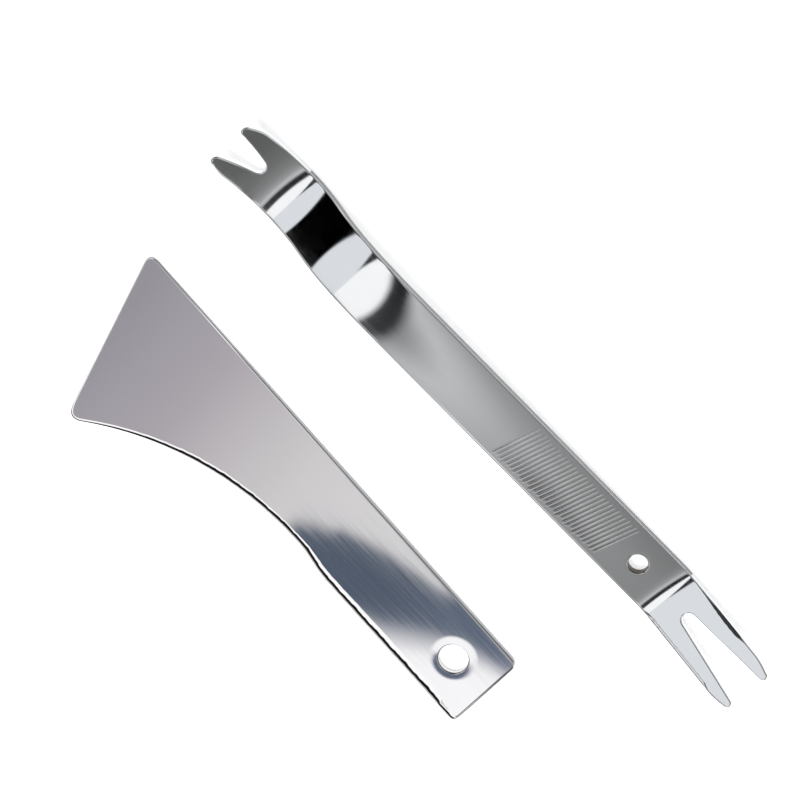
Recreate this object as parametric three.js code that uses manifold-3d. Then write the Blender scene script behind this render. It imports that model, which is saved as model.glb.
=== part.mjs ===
// A two-piece pry tool set in polished steel: a bar with a fork at each end, bent from one strip, and
// a flat wedge scraper cut from one plate. Millimetres, +Z up. The tools lie side by side on a table.
import * as THREE from 'three';
import { mergeVertices } from 'three/addons/utils/BufferGeometryUtils.js';
import Module from 'manifold-3d';

// ---- driving dimensions: forked pry bar -----------------------------------------------------------
const BAR_WIDTH = 20;            // width of the strip
const BAR_THICK = 3;             // thickness of the strip
const BAR_CHAMFER = 0.5;         // broken long edges
const HANDLE_LENGTH = 126.5;     // straight stretch between the two bends

const HEEL_BEND_RADIUS = 23.5;   // middle-of-strip radius where the long fork turns up
const HEEL_BEND_ANGLE = 15.8;    // degrees
const LONG_FORK_LENGTH = 37;     // straight stretch from the heel bend to the tips

const DROP_BEND_RADIUS = 67;     // middle-of-strip radius where the handle turns down
const DROP_BEND_ANGLE = 25.7;    // degrees
const DIP_BEND_RADIUS = 26.5;    // middle-of-strip radius where it levels out again
const TOE_BEND_RADIUS = 42.5;    // middle-of-strip radius of the upturned toe
const TOE_BEND_ANGLE = 34.8;     // degrees

const LONG_NOTCH = { depth: 29.9, root: 2.5, halfAngle: 7.7, shoulder: 7.8, tipOuter: 8.5 };
const SHORT_NOTCH = { depth: 13.8, root: 2.35, halfAngle: 14.9, shoulder: 7, tipOuter: 7.9 };
const TIP_ROUND = 1.3;           // length over which each prong's tip is rounded

const BAR_HOLE = 6.3;            // hanging hole, diameter
const BAR_HOLE_SETBACK = 9.6;    // hole centre from the heel bend

const SCORE_COUNT = 31;          // fine grip lines cut across the handle
const SCORE_PITCH = 1.5;
const SCORE_START = 19.7;        // first line from the heel bend
const SCORE_LENGTH = 16.4;
const SCORE_LEAN = 14;           // degrees from square across the strip
const SCORE_WIDTH = 0.2;
const SCORE_DEPTH = 0.1;

// ---- driving dimensions: wedge scraper ------------------------------------------------------------
const WEDGE_LENGTH = 176;        // along the straight edge, handle end to blade corner
const WEDGE_THICK = 2;
const HANDLE_WIDTH = 30.7;
const NECK_WIDTH = 28.9;         // narrowest place, where the sweep meets the handle
const NECK_SETBACK = 75.2;       // neck from the handle end
const NECK_EASE = 16;            // length over which the neck widens to the handle
const SWEEP_RADIUS = 109;        // concave edge from the neck out to the blade
const BLADE_RAKE = 20;           // degrees the blade edge leans back from square
const BLADE_CORNER_TRIM = 6.2;   // size of the rounding at the blade's wide corner
const BLADE_NOSE_TRIM = 4.4;     // size of the rounding at the blade's straight-edge corner
const BLADE_EDGE_THICK = 0.6;
const TAPER_LENGTH = 80;         // the plate thins over this length down to the blade edge
const END_SKEW = 5.4;            // degrees the handle end is off square
const END_CORNER_TRIM = 2.4;     // size of the roundings at the handle end
const WEDGE_CHAMFER = 0.5;
const WEDGE_HOLE = 10;           // hanging hole, diameter
const WEDGE_HOLE_SETBACK = 14.2; // hole centre from the handle end
const DISH_WIDTH = 14.4;         // shallow dished rim around the hole, diameter
const DISH_DEPTH = 0.3;

// ---- driving dimensions: how the two tools lie ----------------------------------------------------
const WEDGE_OFFSET_X = 7.6;      // wedge handle end from the bar's heel bend, along the bar
const WEDGE_OFFSET_Y = 54.8;     // wedge straight edge from the bar's centre line, at its handle end
const WEDGE_TURN = -2.2;         // degrees the wedge lies off the bar's direction

// ---- fineness of the curves -----------------------------------------------------------------------
const BEND_STEP = 2.5;           // degrees of bend for each facet
const HOLE_SIDES = 48;
const CURVE_SIDES = 10;

const rad = THREE.MathUtils.degToRad;
const wasm = await Module();
wasm.setup();

// ---- solids ---------------------------------------------------------------------------------------
function solid(geometry) {
  const bare = geometry.clone();
  bare.deleteAttribute('normal');
  bare.deleteAttribute('uv');
  const merged = mergeVertices(bare, 1e-5);
  return new wasm.Manifold(new wasm.Mesh({
    numProp: 3,
    vertProperties: new Float32Array(merged.attributes.position.array),
    triVerts: new Uint32Array(merged.index.array),
  }));
}

function meshOf(name, manifold, material) {
  const raw = manifold.getMesh();
  const geometry = new THREE.BufferGeometry();
  geometry.setAttribute('position', new THREE.BufferAttribute(new Float32Array(raw.vertProperties), 3));
  geometry.setIndex(new THREE.BufferAttribute(new Uint32Array(raw.triVerts), 1));
  geometry.computeVertexNormals();
  const mesh = new THREE.Mesh(geometry, material);
  mesh.name = name;
  return mesh;
}

// A drawing in the XZ plane, extruded along Y and centred on y = 0, with its long edges chamfered.
function extrudeSideways(shape, width, chamfer) {
  const geometry = new THREE.ExtrudeGeometry(shape, {
    depth: width - 2 * chamfer,
    curveSegments: CURVE_SIDES,
    bevelEnabled: chamfer > 0,
    bevelThickness: chamfer,
    bevelSize: chamfer,
    bevelOffset: -chamfer,
    bevelSegments: 1,
  });
  geometry.translate(0, 0, chamfer - width / 2);
  return geometry.rotateX(Math.PI / 2);
}

// A drawing in the XY plane, extruded upwards from z = bottom to z = top.
function extrudeUp(shape, bottom, top, chamfer = 0) {
  const geometry = new THREE.ExtrudeGeometry(shape, {
    depth: top - bottom - 2 * chamfer,
    curveSegments: CURVE_SIDES,
    bevelEnabled: chamfer > 0,
    bevelThickness: chamfer,
    bevelSize: chamfer,
    bevelOffset: -chamfer,
    bevelSegments: 1,
  });
  return geometry.translate(0, 0, bottom + chamfer);
}

function drill(x, y, diameter, bottom, top) {
  const geometry = new THREE.CylinderGeometry(diameter / 2, diameter / 2, top - bottom, HOLE_SIDES);
  return solid(geometry.rotateX(Math.PI / 2).translate(x, y, (bottom + top) / 2));
}

// ---- the bar's side view --------------------------------------------------------------------------
// The middle line of the strip is walked stretch by stretch; each stretch is straight or one bend.
function walk(start, stretches) {
  const line = [{ ...start }];
  for (const { length, radius, angle } of stretches) {
    const from = line[line.length - 1];
    if (length) {
      line.push({
        x: from.x + from.way * length * Math.cos(from.slope),
        z: from.z + length * Math.sin(from.slope),
        slope: from.slope,
        way: from.way,
      });
      continue;
    }
    const turn = rad(angle);
    const steps = Math.ceil(Math.abs(angle) / BEND_STEP);
    for (let i = 1; i <= steps; i += 1) {
      const slope = from.slope + (turn * i) / steps;
      const side = Math.sign(turn) * radius;
      line.push({
        x: from.x + from.way * side * (Math.sin(slope) - Math.sin(from.slope)),
        z: from.z - side * (Math.cos(slope) - Math.cos(from.slope)),
        slope,
        way: from.way,
      });
    }
  }
  return line;
}

const middle = BAR_THICK / 2;
const heelward = walk({ x: 0, z: middle, slope: 0, way: -1 }, [
  { radius: HEEL_BEND_RADIUS, angle: HEEL_BEND_ANGLE },
  { length: LONG_FORK_LENGTH },
]);
const toeward = walk({ x: 0, z: middle, slope: 0, way: 1 }, [
  { length: HANDLE_LENGTH },
  { radius: DROP_BEND_RADIUS, angle: -DROP_BEND_ANGLE },
  { radius: DIP_BEND_RADIUS, angle: DROP_BEND_ANGLE },
  { radius: TOE_BEND_RADIUS, angle: TOE_BEND_ANGLE },
]);

const sideLine = [...heelward.slice(1).reverse(), ...toeward];
const faceOf = (offset) => sideLine.map(({ x, z, slope, way }) => (
  new THREE.Vector2(x - way * Math.sin(slope) * offset, z + Math.cos(slope) * offset)
));
const sideView = new THREE.Shape([...faceOf(-middle), ...faceOf(middle).reverse()]);
const longTip = heelward[heelward.length - 1];
const shortTip = toeward[toeward.length - 1];

// ---- the bar's plan view --------------------------------------------------------------------------
// One forked end, drawn from the strip's right-hand edge round both prongs to its left-hand edge, as
// seen when facing outwards. a is the distance inwards from the tips and b the distance off the axis.
function addForkEnd(shape, tipX, way, notch) {
  const at = (a, b) => [tipX - way * a, way * b];
  const half = BAR_WIDTH / 2;
  const angle = rad(notch.halfAngle);
  const centre = notch.depth - notch.root;
  const mouth = notch.root / Math.cos(angle) + centre * Math.tan(angle);
  const innerAt = (a) => mouth - a * Math.tan(angle);
  const tipMiddle = (mouth + notch.tipOuter) / 2;
  const outerRound = notch.tipOuter + 0.35 * TIP_ROUND;

  shape.lineTo(...at(notch.shoulder, -half));
  shape.quadraticCurveTo(...at(notch.shoulder * 0.4, -half + 0.25), ...at(TIP_ROUND, -outerRound));
  shape.quadraticCurveTo(...at(0, -notch.tipOuter), ...at(0, -tipMiddle));
  shape.quadraticCurveTo(...at(0, -mouth), ...at(TIP_ROUND, -innerAt(TIP_ROUND)));

  const facing = way > 0 ? 0 : Math.PI;
  const opening = Math.PI / 2 + angle;
  shape.absarc(...at(centre, 0), notch.root, facing - opening, facing + opening, true);

  shape.lineTo(...at(TIP_ROUND, innerAt(TIP_ROUND)));
  shape.quadraticCurveTo(...at(0, mouth), ...at(0, tipMiddle));
  shape.quadraticCurveTo(...at(0, notch.tipOuter), ...at(TIP_ROUND, outerRound));
  shape.quadraticCurveTo(...at(notch.shoulder * 0.4, half - 0.25), ...at(notch.shoulder, half));
}

const planView = new THREE.Shape();
planView.moveTo(longTip.x + LONG_NOTCH.shoulder, -BAR_WIDTH / 2);
addForkEnd(planView, shortTip.x, 1, SHORT_NOTCH);
addForkEnd(planView, longTip.x, -1, LONG_NOTCH);

// ---- the grip lines -------------------------------------------------------------------------------
// Each is a shallow V cut: a three-sided bar lying across the strip with one edge pointing down.
function scoreLine(index) {
  const vee = new THREE.Shape([
    new THREE.Vector2(0, BAR_THICK - SCORE_DEPTH),
    new THREE.Vector2(SCORE_WIDTH, BAR_THICK + SCORE_DEPTH),
    new THREE.Vector2(-SCORE_WIDTH, BAR_THICK + SCORE_DEPTH),
  ]);
  const cutter = extrudeSideways(vee, SCORE_LENGTH, 0).rotateZ(-rad(SCORE_LEAN));
  return solid(cutter.translate(SCORE_START + index * SCORE_PITCH, 0, 0));
}

function buildBar() {
  const lowest = Math.min(...sideLine.map((p) => p.z)) - BAR_THICK;
  const highest = Math.max(...sideLine.map((p) => p.z)) + BAR_THICK;
  let bar = solid(extrudeSideways(sideView, BAR_WIDTH, BAR_CHAMFER));
  bar = bar.intersect(solid(extrudeUp(planView, lowest, highest)));
  bar = bar.subtract(drill(BAR_HOLE_SETBACK, 0, BAR_HOLE, -BAR_THICK, 2 * BAR_THICK));
  for (let i = 0; i < SCORE_COUNT; i += 1) {
    bar = bar.subtract(scoreLine(i));
  }
  return bar;
}

// The bar rests on its heel bend and on the dip, so it tips until both bends are equally low.
function restTilt() {
  const heelCentre = { x: 0, z: middle + HEEL_BEND_RADIUS };
  const dipStart = toeward[1 + Math.ceil(DROP_BEND_ANGLE / BEND_STEP)];
  const dipCentre = {
    x: dipStart.x - DIP_BEND_RADIUS * Math.sin(dipStart.slope),
    z: dipStart.z + DIP_BEND_RADIUS * Math.cos(dipStart.slope),
  };
  const across = dipCentre.x - heelCentre.x;
  const drop = (dipCentre.z - DIP_BEND_RADIUS) - (heelCentre.z - HEEL_BEND_RADIUS);
  return Math.atan2(-drop, across);
}

// ---- the wedge ------------------------------------------------------------------------------------
function wedgeOutline() {
  const rake = Math.tan(rad(BLADE_RAKE));
  const skew = Math.tan(rad(END_SKEW));
  const sweepCentre = { x: NECK_SETBACK, y: NECK_WIDTH + SWEEP_RADIUS };
  const sweepY = (x) => sweepCentre.y - Math.sqrt(SWEEP_RADIUS ** 2 - (x - sweepCentre.x) ** 2);

  // The blade edge runs back at its rake until it meets the sweep: found by halving the interval.
  let near = NECK_SETBACK;
  let far = WEDGE_LENGTH;
  while (far - near > 1e-6) {
    const x = (near + far) / 2;
    if (sweepY(x) < (WEDGE_LENGTH - x) / rake) near = x;
    else far = x;
  }
  const corner = { x: near, y: sweepY(near) };
  const sweepEnd = corner.x - BLADE_CORNER_TRIM * Math.cos(Math.asin((near - sweepCentre.x) / SWEEP_RADIUS));
  const sweepStop = Math.asin((sweepEnd - sweepCentre.x) / SWEEP_RADIUS);
  const bladeX = (y) => WEDGE_LENGTH - y * rake;
  const cornerY = corner.y - BLADE_CORNER_TRIM;
  const end = END_CORNER_TRIM;

  const outline = new THREE.Shape();
  outline.moveTo(end, 0);
  outline.lineTo(WEDGE_LENGTH - BLADE_NOSE_TRIM, 0);
  outline.quadraticCurveTo(WEDGE_LENGTH, 0, bladeX(BLADE_NOSE_TRIM), BLADE_NOSE_TRIM);
  outline.lineTo(bladeX(cornerY), cornerY);
  outline.quadraticCurveTo(corner.x, corner.y, sweepEnd, sweepY(sweepEnd));
  for (let i = 1; i <= 24; i += 1) {
    const a = sweepStop * (1 - i / 24);
    outline.lineTo(sweepCentre.x + SWEEP_RADIUS * Math.sin(a), sweepCentre.y - SWEEP_RADIUS * Math.cos(a));
  }
  outline.bezierCurveTo(
    NECK_SETBACK - NECK_EASE * 0.45, NECK_WIDTH,
    NECK_SETBACK - NECK_EASE * 0.55, HANDLE_WIDTH,
    NECK_SETBACK - NECK_EASE, HANDLE_WIDTH,
  );
  outline.lineTo(end - HANDLE_WIDTH * skew, HANDLE_WIDTH);
  outline.quadraticCurveTo(
    -HANDLE_WIDTH * skew, HANDLE_WIDTH,
    -(HANDLE_WIDTH - end) * skew, HANDLE_WIDTH - end,
  );
  outline.lineTo(-end * skew, end);
  outline.quadraticCurveTo(0, 0, end, 0);
  return outline;
}

// The plate's side view, square to the blade edge: full thickness, then an even taper to the edge.
function wedgeTaper() {
  const edge = WEDGE_LENGTH * Math.cos(rad(BLADE_RAKE));
  const start = edge - TAPER_LENGTH;
  const slope = (WEDGE_THICK - BLADE_EDGE_THICK) / TAPER_LENGTH;
  const past = edge + BLADE_EDGE_THICK / slope / 2;
  const side = new THREE.Shape([
    new THREE.Vector2(-WEDGE_LENGTH, 0),
    new THREE.Vector2(past, 0),
    new THREE.Vector2(past, BLADE_EDGE_THICK / 2),
    new THREE.Vector2(start, WEDGE_THICK),
    new THREE.Vector2(-WEDGE_LENGTH, WEDGE_THICK),
  ]);
  return extrudeSideways(side, 4 * WEDGE_LENGTH, 0).rotateZ(rad(BLADE_RAKE));
}

function buildWedge() {
  const hole = { x: WEDGE_HOLE_SETBACK, y: HANDLE_WIDTH / 2 };
  const dish = new THREE.CylinderGeometry(
    DISH_WIDTH - WEDGE_HOLE / 2, WEDGE_HOLE / 2, 2 * DISH_DEPTH, HOLE_SIDES,
  ).rotateX(Math.PI / 2).translate(hole.x, hole.y, WEDGE_THICK);
  let wedge = solid(extrudeUp(wedgeOutline(), 0, WEDGE_THICK, WEDGE_CHAMFER));
  wedge = wedge.intersect(solid(wedgeTaper()));
  wedge = wedge.subtract(drill(hole.x, hole.y, WEDGE_HOLE, -WEDGE_THICK, 2 * WEDGE_THICK));
  return wedge.subtract(solid(dish));
}

// ---- the set on the table -------------------------------------------------------------------------
const barSteel = new THREE.MeshStandardMaterial({ color: 0xa9abae, roughness: 0.16, metalness: 1 });
const wedgeSteel = new THREE.MeshStandardMaterial({ color: 0xb7b5b8, roughness: 0.28, metalness: 1 });

const bar = meshOf('forked_pry_bar', buildBar(), barSteel);
bar.rotation.y = -restTilt();

const wedge = meshOf('wedge_scraper', buildWedge(), wedgeSteel);
wedge.position.set(WEDGE_OFFSET_X, WEDGE_OFFSET_Y, 0);
wedge.rotation.z = rad(WEDGE_TURN);

const toolSet = new THREE.Group();
toolSet.add(bar, wedge);
toolSet.updateMatrixWorld(true);
bar.position.z -= new THREE.Box3().setFromObject(bar, true).min.z;

// The origin is the middle of the set's footprint, on the table.
toolSet.updateMatrixWorld(true);
const box = new THREE.Box3().setFromObject(toolSet, true);
toolSet.position.set(-(box.min.x + box.max.x) / 2, -(box.min.y + box.max.y) / 2, -box.min.z);
toolSet.updateMatrixWorld(true);

export default toolSet;
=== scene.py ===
# %% [markdown]
# # A pry tool set in polished steel
# Two loose tools lie side by side on a white table: a bar bent from one strip of steel, with a fork
# at each end, and a flat wedge scraper cut from one plate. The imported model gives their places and
# sizes. Here each tool gets a fine surface, a finish, and a studio to be seen in.

# %% Load the model
import math
import bpy
import bmesh
import numpy as np
from mathutils import Matrix, Vector


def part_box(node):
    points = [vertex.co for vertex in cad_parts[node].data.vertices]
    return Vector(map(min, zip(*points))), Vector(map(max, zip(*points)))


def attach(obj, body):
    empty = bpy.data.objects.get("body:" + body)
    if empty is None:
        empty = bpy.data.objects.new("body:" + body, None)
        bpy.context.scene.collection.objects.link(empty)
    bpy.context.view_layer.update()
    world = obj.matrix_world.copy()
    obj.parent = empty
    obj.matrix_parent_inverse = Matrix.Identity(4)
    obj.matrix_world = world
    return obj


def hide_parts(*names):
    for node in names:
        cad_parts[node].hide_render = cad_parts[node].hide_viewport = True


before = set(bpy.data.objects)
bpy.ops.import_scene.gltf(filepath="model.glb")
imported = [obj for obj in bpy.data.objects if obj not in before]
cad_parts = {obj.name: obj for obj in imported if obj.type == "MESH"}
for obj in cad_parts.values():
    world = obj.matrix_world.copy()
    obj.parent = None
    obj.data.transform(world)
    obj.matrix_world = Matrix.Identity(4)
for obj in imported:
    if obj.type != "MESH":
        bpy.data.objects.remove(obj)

scene = bpy.context.scene
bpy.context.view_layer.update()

# %% [markdown]
# ## The camera
# The tools are seen from 24 degrees off straight above, from the side of the bar, with the camera
# rolled so that both tools run down from the upper left. A long lens keeps the two almost parallel.
# The camera is written as a place and three directions, which is the clearest way to hold a roll.

# %% Camera
cam_right = Vector((-0.68604703, -0.69372415, -0.21928583))
cam_up = Vector((0.719901, -0.60365067, -0.34256156))
cam_back = Vector((0.105271, -0.392878, 0.913545))
camera = bpy.data.objects.new("camera", bpy.data.cameras.new("camera"))
scene.collection.objects.link(camera)
turn = Matrix((cam_right, cam_up, cam_back)).transposed().to_4x4()
camera.matrix_world = Matrix.Translation((0.107231, -0.344391, 0.736314)) @ turn
camera.data.sensor_width = 36
camera.data.lens = 116.36
camera.data.dof.use_dof = False
scene.camera = camera
print("camera height above the table (m):", round(camera.location.z, 3))

# %% [markdown]
# ## How a plate becomes a mesh
# Each tool is a flat plate with an outline, so both meshes are made the same way. For every point
# of the outline there is a foot, a point on the plate's own spine. A column of vertices starts at
# the foot, crosses the top face, rolls over the edge, goes down the side wall, rolls under, and
# comes back along the underside to the foot. All columns together are one grid, closed round the
# outline. Where two columns share a foot their first vertices fall together and are welded.

# %% Outline helpers
EDGE_TURNS = np.linspace(0, 1, 12)      # points round a rolled edge, as shares of its quarter turn
BEVEL_START = 0.2                       # where on its ellipse a bevelled edge begins, in radians
BEVEL_STEPS = np.array([0, 0.12, 0.5, 0.88])    # rows across a bevel, as shares of its width


def outward(points):
    """For a closed loop that runs anticlockwise: the tangent by central difference, turned by
    minus ninety degrees and made one long, points out of the plate."""
    tangent = np.roll(points, -1, axis=0) - np.roll(points, 1, axis=0)
    normal = np.stack([tangent[:, 1], -tangent[:, 0]], axis=1)
    return normal / np.linalg.norm(normal, axis=1, keepdims=True)


def smooth_step(x, low, high):
    """Three t squared minus two t cubed, with t running from 0 at low to 1 at high."""
    t = np.clip((x - low) / (high - low), 0, 1)
    return t * t * (3 - 2 * t)


def plate_columns(edge, foot, normal, across, top_round, top_drop, low_round, half,
                  top_land=None, bevel=None):
    """A grid of (columns, rows, 3) in the flat: plan place and height. A row of the top face lies
    the share `across` of the way from foot to edge. The rolled edge is a quarter ellipse,
    top_round wide and top_drop high: inset = width (1 - sin a), drop = height (1 - cos a).
    top_land turns it, by its share, into a straight ground slope of the same width and height.
    With a bevel, the face first leans over by a straight, shallow slope and the ellipse starts at
    b = BEVEL_START, where its slope is the same: drop / width * tan b * (1 - sin b) / cos b."""
    a = EDGE_TURNS * math.pi / 2
    low_inset = low_round[:, None] * (1 - np.sin(a))
    low_fall = low_round[:, None] * (1 - np.cos(a))
    first = 0.0 if bevel is None else BEVEL_START
    a = first + EDGE_TURNS * (math.pi / 2 - first)
    top_inset = top_round[:, None] * (1 - np.sin(a)) / (1 - math.sin(first))
    top_fall = top_drop[:, None] * (math.cos(first) - np.cos(a)) / math.cos(first)
    if top_land is not None:
        slope_inset = top_round[:, None] * (1 - EDGE_TURNS)
        slope_fall = top_drop[:, None] * EDGE_TURNS
        top_inset += (slope_inset - top_inset) * top_land[:, None]
        top_fall += (slope_fall - top_fall) * top_land[:, None]
    if bevel is not None:
        lean = top_drop / top_round * math.tan(first) * (1 - math.sin(first)) / math.cos(first)
        bevel_inset = (top_round + bevel)[:, None] - bevel[:, None] * BEVEL_STEPS
        bevel_fall = (bevel * lean)[:, None]
        top_inset = np.concatenate([bevel_inset, top_inset], axis=1)
        top_fall = np.concatenate([bevel_fall * BEVEL_STEPS, bevel_fall + top_fall], axis=1)
        top_round = top_round + bevel

    def place(inset, height):
        """Points of the rim: the edge, moved inwards along its normal by the inset."""
        flat = edge[:, None, :] - normal[:, None, :] * inset[:, :, None]
        return np.concatenate([flat, height[:, :, None]], axis=2)

    def face(inset, height, share):
        """Points of a flat face: foot plus the share of the way to the rolled edge's start."""
        rim = edge - normal * inset[:, None]
        flat = foot[:, None, :] + (rim - foot)[:, None, :] * share[None, :, None]
        level = np.full(flat.shape[:2] + (1,), height)
        return np.concatenate([flat, level], axis=2)

    wall_top = half - top_fall[:, -1:]
    wall_low = low_fall[:, -1:] - half
    wall = wall_top + (wall_low - wall_top) * np.array([0.3, 0.7])
    return np.concatenate([
        face(top_round, half, across),
        place(top_inset, half - top_fall),
        place(np.zeros_like(wall), wall),
        place(low_inset[:, ::-1], low_fall[:, ::-1] - half),
        face(low_round, -half, across[::-1]),
    ], axis=1)


def grid_faces(columns, rows, start=0):
    """Quads of a grid stored column by column; the last column joins the first."""
    c = np.arange(columns)
    r = np.arange(rows - 1)
    a = (c[:, None] * rows + r[None, :]).ravel()
    b = (((c + 1) % columns)[:, None] * rows + r[None, :]).ravel()
    return np.stack([a, a + 1, b + 1, b], axis=1) + start


print("rolled edge drawn with", len(EDGE_TURNS), "points")

# %% [markdown]
# The hanging holes need rings, not columns that run past them. Each hole gets a collar: a small
# round grid that goes from a circle on the top face, over the rim, down the wall of the hole and
# out again underneath. The plate's columns stop on the collar's outer circle, and the two are
# welded.

# %% Hole collar
REACH_POINTS, LIP_POINTS = 16, 6


def collar_rings(centre, angles, radii, heights):
    """Circles of the given radii at the given heights, all round one centre."""
    x = centre[0] + radii[None, :] * np.cos(angles)[:, None]
    y = centre[1] + radii[None, :] * np.sin(angles)[:, None]
    z = np.broadcast_to(heights[None, :], x.shape)
    return np.stack([x, y, z], axis=2)


def rim_profile(outer, hole, roll, half, dish=0.0, dish_depth=0.0):
    """Radius and height from the collar's outer circle to its wall and back out underneath. The
    dish sinks with the square of the way in from its rim; the hole's lip is a quarter circle."""
    lip = np.linspace(0, math.pi / 2, LIP_POINTS)
    inner = hole + roll
    reach = np.linspace(outer, inner, REACH_POINTS)
    way_in = np.clip((dish - reach) / max(dish - inner, 1e-3), 0, 1)
    sunk = dish_depth * way_in ** 2
    top_r = np.concatenate([reach, inner - roll * np.sin(lip[1:])])
    top_h = np.concatenate([half - sunk, half - dish_depth - roll * (1 - np.cos(lip[1:]))])
    low_r = np.concatenate([inner - roll * np.sin(lip[::-1]), [outer]])
    low_h = np.concatenate([-half + roll * (1 - np.cos(lip[::-1])), [-half]])
    return np.concatenate([top_r, low_r]), np.concatenate([top_h, low_h])


def steel_object(name, grids, finishes, weld=2e-6):
    """One welded mesh from closed grids in metres, smooth, with its faces outwards. Each grid comes
    with the finish number of each of its faces, column by column."""
    points, faces, start = [], [], 0
    for grid in grids:
        points.append(grid.reshape(-1, 3))
        faces.append(grid_faces(grid.shape[0], grid.shape[1], start))
        start += grid.shape[0] * grid.shape[1]
    mesh = bpy.data.meshes.new(name)
    mesh.from_pydata(np.concatenate(points).tolist(), [], np.concatenate(faces).tolist())
    finish = np.concatenate([f.ravel() for f in finishes]).astype(np.int32)
    mesh.polygons.foreach_set("material_index", finish)
    work = bmesh.new()
    work.from_mesh(mesh)
    bmesh.ops.remove_doubles(work, verts=work.verts, dist=weld)
    bmesh.ops.dissolve_degenerate(work, edges=work.edges, dist=1e-7)
    bmesh.ops.recalc_face_normals(work, faces=work.faces)
    open_edges = sum(1 for e in work.edges if not e.is_manifold)
    work.to_mesh(mesh)
    work.free()
    mesh.polygons.foreach_set("use_smooth", [True] * len(mesh.polygons))
    piece = bpy.data.objects.new(name, mesh)
    scene.collection.objects.link(piece)
    print(name, "faces", len(mesh.polygons), "open edges", open_edges)
    return piece


# %% [markdown]
# ## The bar's bends
# A real bar is stamped flat and then bent in a press. The mesh follows the same order. First comes
# the side view: the slope of the strip is set at stations along its length, joined by a smooth
# curve, and added up step by step to give the middle line. The drop starts softly, is steepest half
# way down, and comes out of the dip into the upturned toe.

# %% Side view of the bar
MM = 0.001
BAR_HALF = 1.5          # half the strip's thickness
BAR_EDGE = 10.0         # half its width
HEEL_ARC, HEEL_SOFT, HEEL_SLOPE, LONG_FORK = 6.48, 2.4, 15.8, 37.0
bend_at = np.array([0, 112, 118, 125, 134, 146, 152.5, 158.5, 164.5, 169.5, 182, 194.4])
bend_slope = np.array([0, 0, 0.6, 2.6, 5.5, 16.8, 24.7, 18.2, 7.4, 0, -16.5, -34.8])


def pchip(x, xs, ys):
    """Cubic through the stations whose slope at each is the harmonic mean of its two neighbours'
    slopes, or nought at a turning point, so that it never overshoots a station."""
    step = np.diff(xs)
    rise = np.diff(ys) / step
    both_ways = rise[:-1] * rise[1:]
    inside = np.where(both_ways > 0, 2 * both_ways / (rise[:-1] + rise[1:] + 1e-12), 0)
    grade = np.concatenate([[rise[0]], inside, [rise[-1]]])
    i = np.clip(np.searchsorted(xs, x) - 1, 0, len(xs) - 2)
    t = (x - xs[i]) / step[i]
    return ((1 + 2 * t) * (1 - t) ** 2 * ys[i] + t * (1 - t) ** 2 * step[i] * grade[i]
            + t * t * (3 - 2 * t) * ys[i + 1] + t * t * (t - 1) * step[i] * grade[i + 1])


def slope_along(s):
    """Downward slope in degrees at arc length s. The heel bend swings in and out as half a cosine,
    spread a little wider than its arc; the drop, dip and toe follow their stations."""
    through = np.clip((HEEL_SOFT - s) / (HEEL_ARC + 2 * HEEL_SOFT), 0, 1)
    heel = HEEL_SLOPE * (0.5 - 0.5 * np.cos(np.pi * through))
    return heel + pchip(np.clip(s, 0, bend_at[-1]), bend_at, bend_slope)


fine = np.linspace(-(HEEL_ARC + LONG_FORK), bend_at[-1], 4801)
sink = np.radians(slope_along(fine))
travel = np.concatenate([[0], np.cumsum(np.cos((sink[1:] + sink[:-1]) / 2) * np.diff(fine))])
fall = np.concatenate([[0], np.cumsum(-np.sin((sink[1:] + sink[:-1]) / 2) * np.diff(fine))])
line_x = travel - np.interp(0, fine, travel)
line_z = fall - np.interp(0, fine, fall) + BAR_HALF
face_x = line_x + np.sin(sink) * BAR_HALF
print("toe tip at %.1f mm, drop %.2f mm" % (line_x[-1], BAR_HALF - line_z.min()))


def bend(grid):
    """Flat plan place to bent place: the top face's plan x gives the arc length, which gives the
    middle line's place and slope; the height is laid off square to the strip."""
    s = np.interp(grid[..., 0], face_x, fine)
    a = np.interp(s, fine, sink)
    x = np.interp(s, fine, line_x) + np.sin(a) * grid[..., 2]
    z = np.interp(s, fine, line_z) + np.cos(a) * grid[..., 2]
    return np.stack([x, grid[..., 1], z], axis=-1)


# %% [markdown]
# ## The forks
# Each fork is two prongs round a V-shaped notch with a round root. The function below draws one
# prong: down its outer edge, round its tip, and back up the notch to the middle of the root. The
# feet run down the middle of the prong and meet those of the other prong behind the root.

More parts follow.
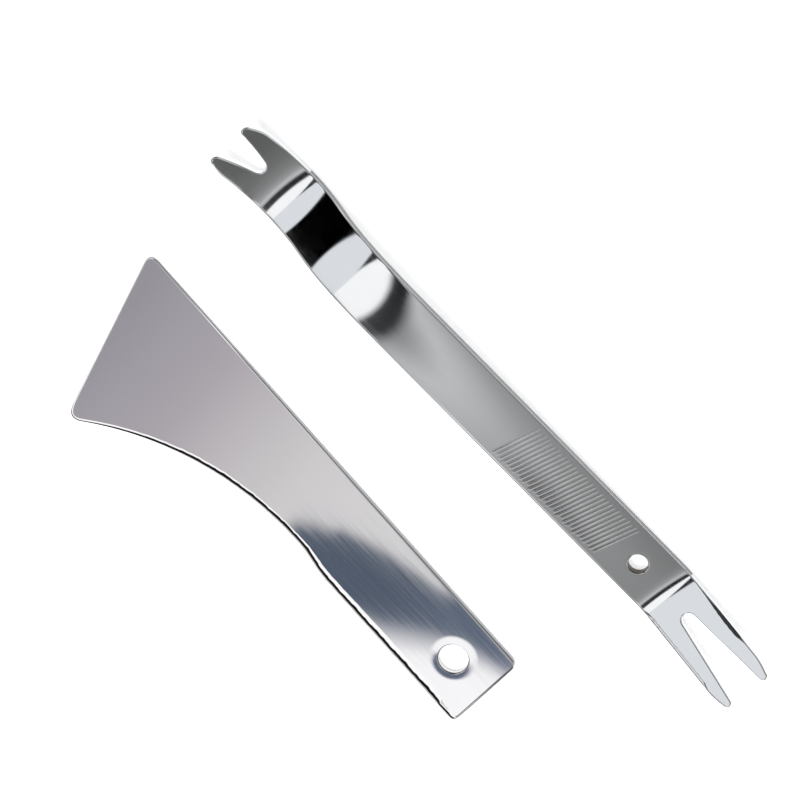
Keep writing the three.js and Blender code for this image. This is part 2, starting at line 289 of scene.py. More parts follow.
# %% One prong
def prong(depth, root, half_angle, shoulder, tip_outer, tip_round, reach, steps):
    """Edge points and feet (a inwards from the tips, b off the axis) for the prong with b > 0."""
    angle = math.radians(half_angle)
    centre = depth - root
    mouth = root / math.cos(angle) + centre * math.tan(angle)
    touch = centre + root * math.sin(angle)
    junction = depth + reach

    def inner(a):
        """The notch's straight side: half its mouth, less a times the tangent of its angle."""
        return mouth - a * math.tan(angle)

    def outer(a):
        """The shoulder: from the tip's half width to the strip's, along a quarter sine."""
        return tip_outer + (BAR_EDGE - tip_outer) * np.sin(np.clip(a / shoulder, 0, 1) * np.pi / 2)

    def spine(a):
        """Midway between both sides, and behind the notch on to the axis along a quarter cosine."""
        prong_mid = (outer(a) + inner(np.minimum(a, touch))) / 2
        t = np.clip((a - touch) / (junction - touch), 0, 1)
        return prong_mid * np.cos(t * np.pi / 2)

    tip_start = tip_round * 1.15
    back = junction + (touch - junction) * np.linspace(0, 1, steps[0])
    down = touch + (tip_start - touch) * np.linspace(0, 1, steps[1])[1:]
    run = np.concatenate([back, down])
    feet = np.stack([run, spine(run)], axis=1)
    outside = np.stack([run, outer(run)], axis=1)
    top, low = outer(tip_start), inner(tip_start)
    turn = np.linspace(0, math.pi, steps[2])[1:-1]
    tip = np.stack([tip_start * (1 - np.sin(turn) ** 0.9),
                    (top + low) / 2 + (top - low) / 2 * np.cos(turn)], axis=1)
    tip_feet = np.repeat(feet[-1:], len(tip), axis=0)
    inside = np.stack([down[::-1], inner(down[::-1])], axis=1)
    sweep = np.linspace(0, 1, steps[0])
    around = (math.pi / 2 - angle) * (1 - sweep)
    arc = np.stack([centre + root * np.cos(around), root * np.sin(around)], axis=1)
    edges = np.concatenate([outside, tip, inside, arc])
    home = [feet[len(back):][::-1], feet[:len(back)][::-1]]
    return edges, np.concatenate([feet, tip_feet] + home), junction


TIP_ROUND = 1.3
LONG_NOTCH = dict(depth=29.9, root=2.5, half_angle=7.7, shoulder=7.8, tip_outer=8.5)
SHORT_NOTCH = dict(depth=13.8, root=2.35, half_angle=14.9, shoulder=7.0, tip_outer=7.9)
long_edge, long_foot, long_join = prong(
    **LONG_NOTCH, tip_round=TIP_ROUND, reach=4.2, steps=(14, 40, 15))
short_edge, short_foot, short_join = prong(
    **SHORT_NOTCH, tip_round=TIP_ROUND, reach=5.0, steps=(16, 30, 15))
print("prong columns:", len(long_edge), len(short_edge))

# %% [markdown]
# ## The handle
# The handle carries a hanging hole and 31 fine grip lines scored across it, which lean 14 degrees.
# The columns of the grid lean with them, so that each line has columns of its own: two at its
# shoulders, two half way down and one at its bottom. The lines nearest the hole are cut deepest.

# %% Handle stations
HOLE_X, HOLE_R, HOLE_COLLAR = 9.6, 3.15, 4.6
SCORES = 19.7 + 1.5 * np.arange(31)
SCORE_HALF, SCORE_DEPTH = 0.1, 0.02
LEAN = math.tan(math.radians(14))
heel_tip, toe_tip = face_x[0], face_x[-1]

score_cut = np.array([0.0, 0.55, 1.0, 0.55, 0.0])
score_off = np.array([-1, -0.45, 0, 0.45, 1]) * SCORE_HALF
score_x = (SCORES[:, None] + score_off).ravel()
score_deep = (SCORE_DEPTH * (1.0 - 0.5 * smooth_step(SCORES, 40, 66))[:, None] * score_cut).ravel()
count = np.arange(len(SCORES))
score_ends = 7.75 + 0.35 * np.sin(count * 2.4) - 0.9 * (count > 27) * np.cos(count * 3.0)
before = np.arange(heel_tip + long_join, HOLE_X - 6.1, 0.33)[1:]
plain = np.concatenate([np.linspace(15.8, 19.2, 8), np.linspace(65.2, 111, 34),
                        np.arange(111.5, toe_tip - short_join - 0.2, 0.45)])
plain = np.concatenate([plain, SCORES[:-1] + 0.75])
station = np.concatenate([plain, score_x])
deep = np.concatenate([np.zeros(len(plain)), score_deep])
order = np.argsort(station)
station, deep = station[order], deep[order]
ends = np.interp(station, SCORES, score_ends)

half_turn = np.linspace(math.pi, 0, 37)
lean = LEAN * BAR_EDGE * smooth_step(station, 15.7, 19.3) * (1 - smooth_step(station, 65.2, 70))
zeros = np.zeros_like
foot_x = np.concatenate([before, HOLE_X + HOLE_COLLAR * np.cos(half_turn), station])
foot_y = np.concatenate([zeros(before), HOLE_COLLAR * np.sin(half_turn), zeros(station)])
rim_x = np.concatenate([before, HOLE_X + 1.3 * HOLE_COLLAR * np.cos(half_turn), station])
lean_x = np.concatenate([zeros(before), zeros(half_turn), lean])
cut = np.concatenate([zeros(before), zeros(half_turn), deep])
cut_end = np.concatenate([zeros(before), zeros(half_turn), ends])
print("handle stations:", len(foot_x))

# %% [markdown]
# ## The bar as one grid
# The outline is walked anticlockwise: round the toe's two prongs, back along one side, round the
# long fork, and home along the other side. The long fork's outer edges were ground thinner by hand,
# so a wide flat land is cut there instead of the rolled edge, and it fades out before the tips. The
# whole strip is a little crowned from polishing, which bends what it mirrors.

# %% Bar outline
def both(x, y):
    """Points from their two coordinates."""
    return np.stack([x, y], axis=1)


def prong_part(edges, feet, tip, way, side, back=False):
    """One prong laid at its tip, pointing the given way, on the given side; with no grip lines.
    Walked back, it leaves out the point in the middle of the notch's root, which the other has."""
    run = slice(-2, None, -1) if back else slice(None)
    laid = [both(tip - way * points[:, 0], side * points[:, 1])[run] for points in (edges, feet)]
    return laid[0], laid[1], 0, 0


parts = [
    prong_part(short_edge, short_foot, toe_tip, 1, -1),
    prong_part(short_edge, short_foot, toe_tip, 1, 1, back=True),
    (both(rim_x + lean_x, zeros(rim_x) + BAR_EDGE)[::-1], both(foot_x, foot_y)[::-1], cut[::-1],
     cut_end[::-1]),
    prong_part(long_edge, long_foot, heel_tip, -1, 1),
    prong_part(long_edge, long_foot, heel_tip, -1, -1, back=True),
    (both(rim_x - lean_x, zeros(rim_x) - BAR_EDGE), both(foot_x, -foot_y), cut, cut_end),
]
edge = np.concatenate([p[0] for p in parts])
foot = np.concatenate([p[1] for p in parts])
groove = np.concatenate([zeros(p[0][:, 0]) + p[2] for p in parts])
groove_end = np.concatenate([zeros(p[0][:, 0]) + p[3] for p in parts])
normal = outward(edge)
print("bar columns:", len(edge))

# %% Bar edges
EDGE_ROLL, FACE_CROWN = 0.42, 0.065
on_side = smooth_step(np.abs(normal[:, 1]), 0.9, 0.99) * (np.abs(edge[:, 1]) > 8)
from_heel = -edge[:, 0]
near_land = smooth_step(from_heel, 6, 22) * (1 - smooth_step(from_heel, 25, 30)) * (edge[:, 1] < 0)
far_land = smooth_step(from_heel, 2, 7) * (1 - smooth_step(from_heel, 31, 34)) * (edge[:, 1] > 0)
chatter = 1 + 0.13 * np.sin(edge[:, 0] * 4.1) * np.sin(edge[:, 0] * 1.7 + 1)
chatter += 0.08 * np.sin(edge[:, 0] * 9.3)
land = on_side * (near_land + far_land)
top_round = EDGE_ROLL + 0.80 * land * chatter
far_side = on_side * (edge[:, 1] > 0)
top_round += 0.2 * far_side * (1 - far_land)
top_drop = EDGE_ROLL + on_side * (0.16 * near_land - 0.08 * far_land)
top_drop -= 0.2 * far_side * (1 - far_land)
print("widest land on the long fork: %.2f mm" % top_round.max())

# %% Bar mesh
across = np.array([0, .13, .26, .39, .52, .63, .70, .74, .77, .80, .83, .86, .90, .94, .98, 1])
flat_bar = plate_columns(edge, foot, normal, across, top_round, top_drop,
                         np.full(len(edge), 0.4), BAR_HALF, land)
off_axis = np.abs(flat_bar[:, :len(across), 1])
flat_bar[:, :len(across), 2] -= groove[:, None] * (off_axis < groove_end[:, None])
share_up = (flat_bar[..., 2] / BAR_HALF + 1) / 2
flat_bar[..., 2] -= FACE_CROWN * (flat_bar[..., 1] / BAR_EDGE) ** 2 * share_up

collar_turn = np.concatenate([half_turn[::-1], -half_turn[1:-1]])
radii, heights = rim_profile(HOLE_COLLAR, HOLE_R, 0.4, BAR_HALF)
bar_collar = collar_rings((HOLE_X, 0), collar_turn, radii, heights)
print("bar grid:", flat_bar.shape)

# %% [markdown]
# The bar rests on its heel and on the bottom of the dip, which tilts it by about three degrees. The
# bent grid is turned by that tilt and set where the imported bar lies.

# %% Place the bar
TILT = math.radians(3.1692)
BAR_SHIFT = np.array([-74.2461, -49.2029, 0.0399])


def lay_bar(flat):
    """Bend, turn about Y by the resting tilt, then move to the bar's place in the set."""
    p = bend(flat)
    x = p[..., 0] * math.cos(TILT) - p[..., 2] * math.sin(TILT)
    z = p[..., 0] * math.sin(TILT) + p[..., 2] * math.cos(TILT)
    return (np.stack([x, p[..., 1], z], axis=-1) + BAR_SHIFT) * MM


bar_grid, collar_grid = lay_bar(flat_bar), lay_bar(bar_collar)
print("bar lowest point (mm): %.3f" % (bar_grid[..., 2].min() / MM))

# %% [markdown]
# Each face of the grid now gets the number of its finish. The flat of the strip is polished, the
# grip lines are dull, and the sheared edge is grey steel, from about the last quarter of the upper
# rolled rim to the first quarter of the lower one. On both forks the side wall is as bright as the
# face, as if it had been polished after it was cut.

# %% Bar finishes by face
FACE, SCORED, CUT, PAINTED_HOLE_SHADE = 0, 1, 2, 3
top_rows, edge_rows = len(across), len(EDGE_TURNS)
cut_from, wall_from = top_rows + edge_rows - 4, top_rows + edge_rows - 1
bar_finish = np.full((len(edge), bar_grid.shape[1] - 1), FACE)
bar_finish[:, cut_from:-cut_from] = CUT
on_forks = (edge[:, 0] < -4) | (edge[:, 0] > 167)
bar_finish[on_forks, wall_from:wall_from + 3] = FACE
in_line = np.maximum(groove, np.roll(groove, -1)) > 0
scored = in_line[:, None] * (off_axis[:, 1:] < groove_end[:, None])
bar_finish[:, :top_rows - 1][scored] = SCORED
ring_finish = np.full((len(collar_turn), len(radii) - 1), FACE)
# The hole's lip and wall take the painted shade finish: almost black-brown, painted for the shade
# inside the hole.
ring_finish[:, REACH_POINTS + 1:-(LIP_POINTS - 3)] = PAINTED_HOLE_SHADE
bar = steel_object("pry_bar_steel", [bar_grid, collar_grid], [bar_finish, ring_finish])
low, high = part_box("forked_pry_bar")
print("bar box:", bar_grid.min(axis=(0, 1)) / MM, bar_grid.max(axis=(0, 1)) / MM)
print("model box:", [round(v * 1000, 2) for v in low], [round(v * 1000, 2) for v in high])

# %% [markdown]
# ## The wedge scraper
# The scraper is cut from one plate: a straight edge, a raked blade, a swept edge and a handle with
# a dished hanging hole. Its outline is walked the same way. Its spine runs from the handle end to
# the middle of the blade, and the points of both ends fan out from the spine's two ends.

# %% Wedge outline
WEDGE_LONG, NECK_X, NECK_Y, NECK_EASE, HANDLE_Y = 176.0, 75.2, 28.9, 16.0, 30.7
SWEEP_R, RAKE, SKEW = 109.0, math.tan(math.radians(20)), math.tan(math.radians(5.4))
WEDGE_HOLE, WEDGE_HOLE_R, WEDGE_COLLAR = (14.2, 15.35), 5.0, 8.9


def swept_edge(x):
    """Circle of the sweep beyond the neck, the handle's side before it, eased between the two."""
    sweep = NECK_Y + SWEEP_R - np.sqrt(SWEEP_R ** 2 - np.clip(x - NECK_X, 0, 100) ** 2)
    ease = HANDLE_Y + (NECK_Y - HANDLE_Y) * smooth_step(x, NECK_X - NECK_EASE, NECK_X)
    return np.where(x > NECK_X, sweep, ease)


def corner(before_it, at_it, after_it, count=9):
    """Quadratic curve: (1-t)^2 of the first, 2t(1-t) of the corner, t^2 of the last."""
    t = np.linspace(0, 1, count)[:, None]
    a, b, c = (np.array(p) for p in (before_it, at_it, after_it))
    return (1 - t) ** 2 * a + 2 * t * (1 - t) * b + t * t * c


wide_x = np.linspace(NECK_X, WEDGE_LONG, 40001)
wide_x = wide_x[np.argmax(swept_edge(wide_x) > (WEDGE_LONG - wide_x) / RAKE)]
wide_y = float(swept_edge(np.array([wide_x]))[0])
print("wide corner of the blade at (%.1f, %.1f) mm" % (wide_x, wide_y))

# %% Wedge columns
TRIM, NOSE, END = 6.2, 4.4, 3.0
sweep_end = wide_x - TRIM * math.cos(math.asin((wide_x - NECK_X) / SWEEP_R))
spine_x = np.concatenate([[4.2, 5.2], np.linspace(23.4, 150, 116)])
spine_y = WEDGE_HOLE[1] + 8.6 * smooth_step(spine_x, 80, 150)
stretch = smooth_step(spine_x, 90, 150)
wedge_turn = np.linspace(math.pi, 0, 41)


def side_x(end_at_handle, end_at_blade):
    """Edge stations: level with the spine's, but spread to reach both ends of this edge."""
    x = spine_x + (end_at_blade - 150) * stretch
    x[:2] = end_at_handle + (x[:2] - 4.2) * 0.6
    hole = WEDGE_HOLE[0] + (WEDGE_COLLAR * 1.03) * np.cos(wedge_turn)
    return np.concatenate([x[:2], hole, x[2:]])


def spine_feet(side):
    """The spine with the hole's collar let in: half a circle of feet on the given side."""
    hole = both(WEDGE_HOLE[0] + WEDGE_COLLAR * np.cos(wedge_turn),
                WEDGE_HOLE[1] + side * WEDGE_COLLAR * np.sin(wedge_turn))
    spine = both(spine_x, spine_y)
    return np.concatenate([spine[:2], hole, spine[2:]])


straight_x = side_x(END, WEDGE_LONG - NOSE)
swept_x = side_x(END - HANDLE_Y * SKEW, sweep_end)
straight = both(straight_x, zeros(straight_x))
swept = both(swept_x, swept_edge(swept_x))
blade_y = np.linspace(NOSE, wide_y - TRIM, 60)
blade = both(WEDGE_LONG - blade_y * RAKE, blade_y)
end_y = np.linspace(HANDLE_Y - END, END, 30)
end = both(-end_y * SKEW, end_y)
nose = corner(straight[-1], (WEDGE_LONG, 0), blade[0])[1:-1]
wide = corner(blade[-1], (wide_x, wide_y), swept[-1])[1:-1]
far_end = corner(swept[0], (-HANDLE_Y * SKEW, HANDLE_Y), end[0])[1:-1]
near_end = corner(end[-1], (0, 0), straight[0])[1:-1]
blade_side = np.concatenate([nose, blade, wide])
handle_side = np.concatenate([far_end, end, near_end])
near_feet, far_feet = spine_feet(-1), spine_feet(1)
w_edge = np.concatenate([straight, blade_side, swept[::-1], handle_side])
w_foot = np.concatenate([near_feet, np.repeat(near_feet[-1:], len(blade_side), axis=0),
                         far_feet[::-1], np.repeat(near_feet[:1], len(handle_side), axis=0)])
w_normal = outward(w_edge)
print("wedge columns:", len(w_edge))

# %% [markdown]
# The blade was ground to a thin edge. The grid is drawn in a plate of full thickness, and then
# every height is scaled by the plate's thickness at that place, which falls off ever faster
# towards the blade.

# %% Wedge thickness and place
PLATE_THICK, BLADE_THINNER, THIN_FROM, THIN_POWER = 2.0, 1.4, 70.0, 1.6
WEDGE_TURN, WEDGE_PLACE = math.radians(-2.2), (-66.646, 5.597)


def plate_thickness(x, y):
    """2 mm, less 1.4 mm times t to the power 1.6, where t runs from 0 to 1 square to the blade."""
    rake = math.radians(20)
    w = x * math.cos(rake) + y * math.sin(rake)
    t = np.clip((w - THIN_FROM) / (WEDGE_LONG * math.cos(rake) - THIN_FROM), 0, 1)
    return PLATE_THICK - BLADE_THINNER * t ** THIN_POWER


def lay_wedge(flat):
    """Scale heights by the thickness, turn by the wedge's small angle and move to its place."""
    z = (flat[..., 2] * 0.5 + 0.5) * plate_thickness(flat[..., 0], flat[..., 1])
    c, s = math.cos(WEDGE_TURN), math.sin(WEDGE_TURN)
    x = flat[..., 0] * c - flat[..., 1] * s + WEDGE_PLACE[0]
    y = flat[..., 0] * s + flat[..., 1] * c + WEDGE_PLACE[1]
    return np.stack([x, y, z], axis=-1) * MM


print("blade edge thickness (mm): %.2f" % (PLATE_THICK - BLADE_THINNER))

# %% [markdown]
# The swept edge is rolled over, as hard polishing leaves it. The roll is widest along the handle,
# where a straight, shallow bevel comes before it, and it wavers a little. The bevel gives back most
# of what the waver takes, so the line between face and bevel stays nearly even.

# %% Wedge edges
is_swept = (w_normal[:, 1] > 0.55) * (w_edge[:, 1] > 20)
from_blade = np.clip((156 - w_edge[:, 0]) / 42, 0, 1)
in_handle = smooth_step(w_edge[:, 0], -1, 9)
jog = np.sin(w_edge[:, 0] * 0.9) * np.sin(w_edge[:, 0] * 0.37) + 0.5 * np.sin(w_edge[:, 0] * 2.3)
w_round = 0.45 + 0.4 * np.clip((60 - w_edge[:, 0]) / 60, 0, 1)
w_round += is_swept * (0.3 + 1.2 * from_blade * in_handle)
bevel_grows = 0.85 * smooth_step(-w_edge[:, 0], -80, -58) + 0.1 * from_blade
w_bevel = np.maximum(0.03, is_swept * bevel_grows * in_handle)


def eased(widths):
    """Running mean over nine columns, so that one width passes softly into the next."""
    return np.convolve(np.concatenate([widths[-4:], widths, widths[:4]]), np.ones(9) / 9, "valid")


w_round, w_bevel = eased(w_round), eased(w_bevel)
jogs = 0.10 * jog * eased(is_swept * from_blade)
w_bevel = np.maximum(0.03, w_bevel - 0.75 * jogs * w_round)
w_round = w_round * (1 + jogs)
w_drop = 0.24 * w_round + 0.17 * (1 - eased(is_swept * 1.0))
print("widest roll with its bevel: %.2f mm" % (w_round + w_bevel).max())

# %% [markdown]
# The hanging hole sits in a dimple so shallow that only its mirror image shows: a light rim on one
# side and a dark crescent on the other. The lip is painted almost black-brown: painted shade round
# the inside of the hole.

# %% Wedge mesh
PLATE_HALF, LIP_ROLL, DIMPLE_RIM, DIMPLE_DEPTH = 1.0, 0.22, 8.4, 0.028
w_across = np.array([0, .08, .2, .35, .5, .65, .78, .88, .94, .975, .99, 1])
flat_wedge = plate_columns(w_edge, w_foot, w_normal, w_across, w_round, w_drop,
                           np.full(len(w_edge), 0.35), PLATE_HALF, bevel=w_bevel)
w_radii, w_heights = rim_profile(WEDGE_COLLAR, WEDGE_HOLE_R, LIP_ROLL, PLATE_HALF, DIMPLE_RIM,
                                 DIMPLE_DEPTH)
w_turns = np.concatenate([wedge_turn[::-1], -wedge_turn[1:-1]])
wedge_collar = collar_rings(WEDGE_HOLE, w_turns, w_radii, w_heights)
wedge_grid = lay_wedge(flat_wedge)
print("wedge grid:", wedge_grid.shape)

# %% Wedge finishes by face
W_FACE, W_CUT, W_LIP_PAINTED_SHADE = 0, 1, 2
w_cut_from = len(w_across) + len(BEVEL_STEPS) + edge_rows - 4
w_cut_to = len(w_across) + edge_rows - 2        # counted from the underside, which has no bevel
top_lip, low_lip = REACH_POINTS - 1, REACH_POINTS + LIP_POINTS - 1
wedge_finish = np.full((len(w_edge), wedge_grid.shape[1] - 1), W_FACE)
wedge_finish[:, w_cut_from:-w_cut_to] = W_CUT
w_ring_finish = np.full((len(w_turns), len(w_radii) - 1), W_FACE)
# Upper and lower lips of the hole: painted shade, almost black-brown.
w_ring_finish[:, top_lip:top_lip + 5] = W_LIP_PAINTED_SHADE
w_ring_finish[:, low_lip:low_lip + 4] = W_LIP_PAINTED_SHADE
wedge = steel_object("wedge_scraper_steel", [wedge_grid, lay_wedge(wedge_collar)],
                     [wedge_finish, w_ring_finish])
low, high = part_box("wedge_scraper")
print("wedge box:", wedge_grid.min(axis=(0, 1)) / MM, wedge_grid.max(axis=(0, 1)) / MM)
print("model box:", [round(v * 1000, 2) for v in low], [round(v * 1000, 2) for v in high])

# %% [markdown]
# ## Finishes
# Polished steel is mostly what it mirrors, so its own detail is faint: a soft brushing lengthwise,
# a slow change in gloss, and hairline marks. The brushing is a noise stretched along the tool, read
# from the object's own coordinates and used for both the roughness and a very shallow bump.

# %% Steel maker
def steel(name, colour, rough, rough_swing, grain, bump, turn=0.0):
    """Metal whose roughness is rough plus or minus half of rough_swing by a stretched noise."""
    material = bpy.data.materials.new(name)
    material.use_nodes = True
    nodes, links = material.node_tree.nodes, material.node_tree.links
    shader = nodes["Principled BSDF"]
    shader.inputs["Metallic"].default_value = 1.0
    place = nodes.new("ShaderNodeTexCoord")
    spread = nodes.new("ShaderNodeMapping")
    spread.inputs["Rotation"].default_value = (0, 0, turn)
    spread.inputs["Scale"].default_value = grain
    links.new(place.outputs["Object"], spread.inputs["Vector"])
    brushing = nodes.new("ShaderNodeTexNoise")
    brushing.inputs["Scale"].default_value = 1.0
    brushing.inputs["Detail"].default_value = 3.0
    brushing.inputs["Roughness"].default_value = 0.5
    links.new(spread.outputs["Vector"], brushing.inputs["Vector"])
    gloss = nodes.new("ShaderNodeMapRange")
    gloss.inputs["From Min"].default_value = 0.3
    gloss.inputs["From Max"].default_value = 0.7
    gloss.inputs["To Min"].default_value = rough - rough_swing / 2
    gloss.inputs["To Max"].default_value = rough + rough_swing / 2
    links.new(brushing.outputs["Fac"], gloss.inputs["Value"])
    links.new(gloss.outputs["Result"], shader.inputs["Roughness"])
    relief = nodes.new("ShaderNodeBump")
    relief.inputs["Strength"].default_value = 1.0
    relief.inputs["Distance"].default_value = bump
    links.new(brushing.outputs["Fac"], relief.inputs["Height"])
    links.new(relief.outputs["Normal"], shader.inputs["Normal"])
    cloud = nodes.new("ShaderNodeTexNoise")
    cloud.inputs["Scale"].default_value = 35.0
    cloud.inputs["Detail"].default_value = 2.0
    links.new(place.outputs["Object"], cloud.inputs["Vector"])
    tone = nodes.new("ShaderNodeMix")
    tone.data_type = "RGBA"
    tone.inputs[6].default_value = (*colour, 1)
    tone.inputs[7].default_value = (*(0.97 * part for part in colour), 1)
    links.new(cloud.outputs["Fac"], tone.inputs[0])
    links.new(tone.outputs[2], shader.inputs["Base Color"])
    return material


# %% Steel finishes
bar_face = steel("polished_bar", (0.80, 0.81, 0.82), 0.045, 0.02, (60, 1400, 1400), 1.2e-7)
bar_scored = steel("bar_scored_lines", (0.88, 0.88, 0.89), 0.62, 0.2, (900, 900, 900), 1e-7)
# Painted shade for the holes: a near-black brown base colour on their walls and lips stands in for
# the shade inside them.
hole_wall_painted_shade = steel("hole_wall_painted_shade", (0.085, 0.07, 0.06), 0.35, 0.1, (200, 200, 2500), 1e-6)
bar_cut = steel("bar_cut_edges", (0.22, 0.225, 0.235), 0.30, 0.12, (900, 900, 120), 2e-6)
wedge_face = steel("brushed_wedge", (0.80, 0.79, 0.80), 0.036, 0.02, (40, 1100, 1100), 1.1e-7,
                   -WEDGE_TURN)
wedge_cut = steel("wedge_cut_edges", (0.36, 0.37, 0.39), 0.28, 0.12, (700, 700, 120), 2e-6)
for material in (bar_face, bar_scored, bar_cut, hole_wall_painted_shade):
    bar.data.materials.append(material)
for material in (wedge_face, wedge_cut, hole_wall_painted_shade):
    wedge.data.materials.append(material)
print("bar finishes:", [m.name for m in bar.data.materials])

# %% [markdown]
# ## Which piece stands for what
# Each fine mesh rides on its body and stands for the imported solid, which is hidden, so the set
# still comes apart as two loose tools.

# %% Ride and replace
for piece, body, node, slot in ((bar, "bar", "forked_pry_bar", "bar_steel"),
                                (wedge, "wedge", "wedge_scraper", "wedge_steel")):
    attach(piece, body)
    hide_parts(node)
print("tools placed: 2")

# %% [markdown]
# ## Table and studio
# The table is a plain pale sheet. Mirror steel shows the room, so the room is drawn as the world:
# a wide soft ceiling with darker and lighter strips between the lamps, a function of two angles of
# the ray. `across_room` leans from -X to +X and `along_room` leans from -Y to +Y. A camera ray that
# misses the table sees a plain pale backdrop instead.

# %% Table
TABLE_GAP = 0.0001      # keeps the sheet off the undersides, which lie at nought
bpy.ops.mesh.primitive_plane_add(size=6.0, location=(0, 0, -TABLE_GAP))
floor = bpy.context.object
floor.name = "table_sheet"
sheet = bpy.data.materials.new("table_white")
sheet.use_nodes = True
sheet.node_tree.nodes["Principled BSDF"].inputs["Base Color"].default_value = (0.93, 0.93, 0.93, 1)
sheet.node_tree.nodes["Principled BSDF"].inputs["Roughness"].default_value = 0.9
sheet.node_tree.nodes["Principled BSDF"].inputs["Specular IOR Level"].default_value = 0.0
sheet.node_tree.nodes["Principled BSDF"].inputs["Emission Color"].default_value = (1, 1, 1, 1)
sheet.node_tree.nodes["Principled BSDF"].inputs["Emission Strength"].default_value = 0.42
floor.data.materials.append(sheet)
print("table size (m):", tuple(round(v, 1) for v in floor.dimensions))

# %% Studio helpers
world = bpy.data.worlds.new("studio")
world.use_nodes = True
scene.world = world
wn, wl = world.node_tree.nodes, world.node_tree.links
wn.clear()


def sum_of(kind, *values, clamp=False):
    """One Math node; numbers go on its sockets and sockets are linked."""
    node = wn.new("ShaderNodeMath")
    node.operation = kind
    node.use_clamp = clamp
    for socket, value in zip(node.inputs, values):
        if isinstance(value, (int, float)):
            socket.default_value = value
        else:
            wl.new(value, socket)
    return node.outputs[0]


def ramp(value, low, high, stops):
    """Colours at angles in degrees between low and high, joined by straight lines."""
    node = wn.new("ShaderNodeValToRGB")
    wl.new(sum_of("DIVIDE", sum_of("SUBTRACT", value, low), high - low), node.inputs[0])
    marks = node.color_ramp.elements
    marks.remove(marks[1])
    for index, (angle, colour) in enumerate(stops):
        mark = marks.new((angle - low) / (high - low)) if index else marks[0]
        mark.position = (angle - low) / (high - low)
        mark.color = (*colour, 1) if isinstance(colour, tuple) else (colour,) * 3 + (1,)
    return node.outputs[0]


def blend_of(share, first, second):
    """first (1 - share) + second share; each is a colour or another node's output."""
    node = wn.new("ShaderNodeMix")
    node.data_type = "RGBA"
    wl.new(share, node.inputs[0])
    for socket, value in ((node.inputs[6], first), (node.inputs[7], second)):
        if isinstance(value, tuple):
            socket.default_value = (*value, 1)
        else:
            wl.new(value, socket)
    return node.outputs[2]


def band(value, low, high):
    """Nought below low, one above high, straight between."""
    return sum_of("DIVIDE", sum_of("SUBTRACT", value, low), high - low, clamp=True)

# %% Studio strips
ray = wn.new("ShaderNodeTexCoord").outputs["Generated"]
split = wn.new("ShaderNodeSeparateXYZ")
wl.new(ray, split.inputs[0])
rx, ry, rz = split.outputs
DEG = 180 / math.pi
across_room = sum_of("MULTIPLY", sum_of("ARCTAN2", rx, rz), DEG)
along_room = sum_of("MULTIPLY", sum_of("ARCSINE", ry), DEG)

# The bar's width mirrors only a few degrees of the room lengthwise: v runs from -1 to 1 over them.
v = sum_of("SUBTRACT", sum_of("MULTIPLY", band(along_room, 18.75, 24.75), 2.6667), 1.3333)
v2 = sum_of("MULTIPLY", v, v)
near_edge = band(v, 0.9, -1.0)


def bulge(tilt, bow):
    """tilt v + bow v squared, in degrees: how far a strip's edge leans and curves."""
    return sum_of("ADD", sum_of("MULTIPLY", v, tilt), sum_of("MULTIPLY", v2, bow))


low_bulge = sum_of("MULTIPLY", bulge(1.75, -2.25), band(across_room, 1.5, -3))
high_bulge = sum_of("MULTIPLY", bulge(-2.5, 3.0), band(across_room, 8, 20))
bent_room = sum_of("ADD", sum_of("ADD", across_room, low_bulge), high_bulge)
pale = (0.87, 0.895, 0.93)
bar_strips = ramp(bent_room, -90, 90, [
    (-90, 0.20), (-76, 0.14), (-60, 0.135), (-45, 0.145), (-30, 0.19), (-22, 0.255), (-18, 0.33),
    (-16, 0.40), (-13.5, 0.60), (-11.8, 0.70), (-9.6, 0.45), (-5.8, 1.15), (3.2, 1.15), (3.4, pale),
    (24, pale), (25.5, 0.0), (48, 0.0), (62, 0.5), (90, 0.8)])

# A dark gap beside the lamp strip, deepest at the near edge, and a thin dark wedge on its far side.
gap = sum_of("MULTIPLY", band(bent_room, -12.9, -10.3), band(bent_room, -5.2, -6.8))
gap = sum_of("MULTIPLY", gap, sum_of("ADD", sum_of("MULTIPLY", near_edge, 0.06), 0.94))
bar_strips = blend_of(gap, bar_strips, (0.012, 0.013, 0.016))
wedge_width = sum_of("SUBTRACT", -0.25, sum_of("MULTIPLY", v, 2.9))
from_gap = sum_of("ABSOLUTE", sum_of("SUBTRACT", across_room, 3.6))
sliver = band(sum_of("SUBTRACT", wedge_width, from_gap), -0.3, 0.5)
bar_strips = blend_of(sliver, bar_strips, (0.03, 0.032, 0.036))
print("bar strips drawn")

# %% [markdown]
# The wedge lies flat and mirrors a small patch of the ceiling. One dark curtain crosses that patch
# on a slant, with soft, streaked edges, and the wall beyond it is white. p and q are where the ray
# meets a ceiling one metre up. The curtain lies between two slanted lines in p and q.

# %% Curtain over the wedge
up = sum_of("MAXIMUM", rz, 0.05)
p = sum_of("DIVIDE", rx, up)
q = sum_of("DIVIDE", ry, up)
ceiling = wn.new("ShaderNodeCombineXYZ")
wl.new(sum_of("MULTIPLY", p, 60), ceiling.inputs[0])
wl.new(sum_of("MULTIPLY", q, 400), ceiling.inputs[1])
folds = wn.new("ShaderNodeTexNoise")
folds.inputs["Scale"].default_value = 1.0
folds.inputs["Detail"].default_value = 3.0
wl.new(ceiling.outputs[0], folds.inputs["Vector"])
wobble = sum_of("MULTIPLY", sum_of("SUBTRACT", folds.outputs["Fac"], 0.5), 0.007)


def line_at(*points):
    """Straight pieces through (q, p) points: the p of a curtain's edge at the ray's q."""
    value = points[0][1]
    for (q0, p0), (q1, p1) in zip(points, points[1:]):
        value = sum_of("ADD", value, sum_of("MULTIPLY", band(q, q0, q1), p1 - p0))
    return value


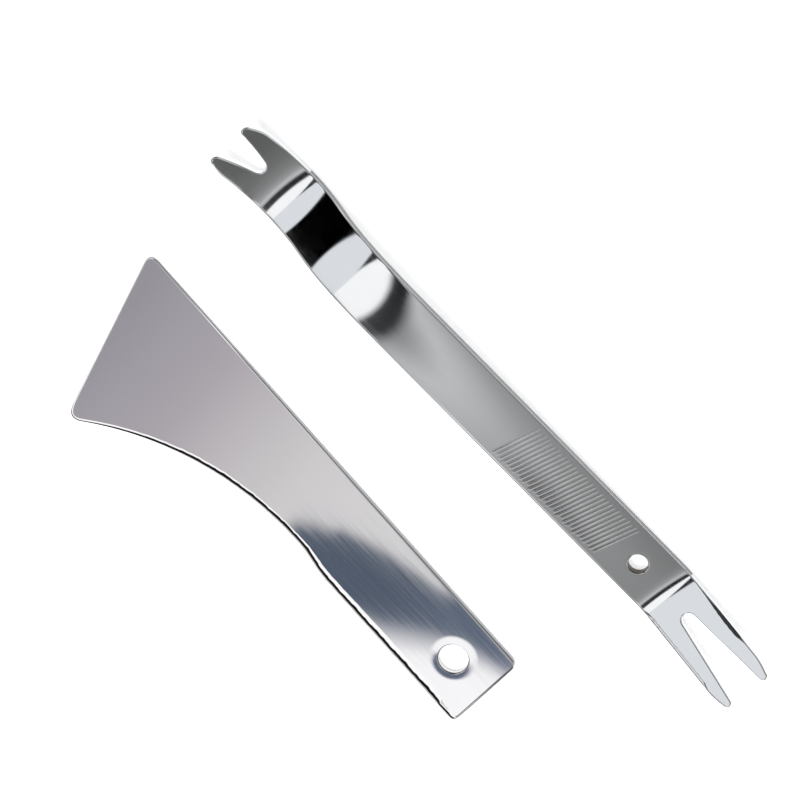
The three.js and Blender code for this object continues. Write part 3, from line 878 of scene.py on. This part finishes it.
start = sum_of("ADD", line_at((0.478, -0.190), (0.484, -0.160), (0.492, -0.139), (0.500, -0.127),
                              (0.508, -0.112), (0.514, -0.108)), wobble)
stop = sum_of("ADD", line_at((0.480, -0.250), (0.487, -0.226), (0.493, -0.213), (0.500, -0.204),
                             (0.507, -0.196), (0.512, -0.190), (0.516, -0.180)), wobble)
into = band(sum_of("SUBTRACT", start, p), -0.003, 0.008)
past = band(sum_of("SUBTRACT", stop, p), -0.012, 0.011)
before_wall = ramp(across_room, -90, 90, [
    (-90, 0.9), (-16, 0.9), (-10, 0.86), (-5.6, (0.78, 0.765, 0.77)), (-3.6, (0.67, 0.65, 0.665)),
    (-1.2, (0.50, 0.475, 0.51)), (0.8, (0.44, 0.42, 0.46)), (2.5, (0.37, 0.355, 0.39)),
    (12, 0.6), (90, 0.8)])
curtain = ramp(across_room, -16, -6, [(-16, (0.15, 0.185, 0.28)), (-11.5, (0.125, 0.16, 0.225)),
                                      (-10, (0.098, 0.128, 0.18)), (-6, (0.098, 0.128, 0.18))])
wedge_strips = blend_of(into, before_wall, curtain)
wedge_strips = blend_of(past, wedge_strips, (1.18, 1.18, 1.19))
low_wall = ramp(across_room, -90, 0, [
    (-90, 0.85), (-36, 0.85), (-31, 0.06), (-22, 0.06), (-18, 0.9)])
wedge_strips = blend_of(band(across_room, -16, -17.5), wedge_strips, low_wall)
print("curtain drawn")

# %% [markdown]
# Outside the patch that the flat faces mirror stand the walls. The far wall has a light strip, a
# black one and lights beyond it, which the rolled edges pick up as fine lines. To the sides the
# walls are plain and soft, so the tools look quiet from there.

# %% Studio output
lean_to_wedge = band(along_room, 24.1, 24.6)
strips = blend_of(lean_to_wedge, bar_strips, wedge_strips)
far_wall = ramp(along_room, -90, 90, [
    (-90, 0.45), (-58, 0.6), (-50, 0.05), (-16, 0.05), (-4, 0.4), (30, 1.25), (34.5, 1.3),
    (35.5, 0.01), (51, 0.012), (53, 0.8), (72, 0.8), (74, 0.05), (88, 0.05), (90, 0.3)])
slanted = sum_of("ADD", along_room, sum_of("MULTIPLY", across_room, 0.25))
side_wall = ramp(slanted, -90, 90, [
    (-90, 0.55), (-60, 0.35), (-35, 0.72), (-10, 0.9), (20, 0.75), (45, 0.35), (60, 0.6),
    (90, 0.8)])
straight_on = sum_of("MULTIPLY", band(across_room, -44, -34), band(across_room, 44, 34))
walls = blend_of(straight_on, side_wall, far_wall)
to_walls = sum_of("ADD", band(along_room, 30.6, 31.2), band(along_room, 12, 4))
strips = blend_of(to_walls, strips, walls)
backdrop = wn.new("ShaderNodeLightPath").outputs["Is Camera Ray"]
seen = blend_of(backdrop, strips, (0.93, 0.93, 0.93))
emit = wn.new("ShaderNodeBackground")
wl.new(seen, emit.inputs["Color"])
out = wn.new("ShaderNodeOutputWorld")
wl.new(emit.outputs[0], out.inputs["Surface"])
scene.view_settings.view_transform = "Standard"
print("studio world:", len(wn), "nodes")

# %% [markdown]
# A big soft lamp overhead lights the table and gives the tools their faint shadows. It is kept out
# of mirror reflections, so the strips of the ceiling stay clean.

# %% Soft lamp
lamp = bpy.data.objects.new("ceiling_lamp", bpy.data.lights.new("ceiling_lamp", "AREA"))
lamp.data.shape = "DISK"
lamp.data.size = 1.6
lamp.data.energy = 22
lamp_place = Vector((-0.25, 0.35, 1.5))
lamp.location = lamp_place
lamp.rotation_euler = lamp_place.to_track_quat("Z", "Y").to_euler()
lamp.visible_glossy = False
scene.collection.objects.link(lamp)
print("lamp energy (W):", lamp.data.energy)
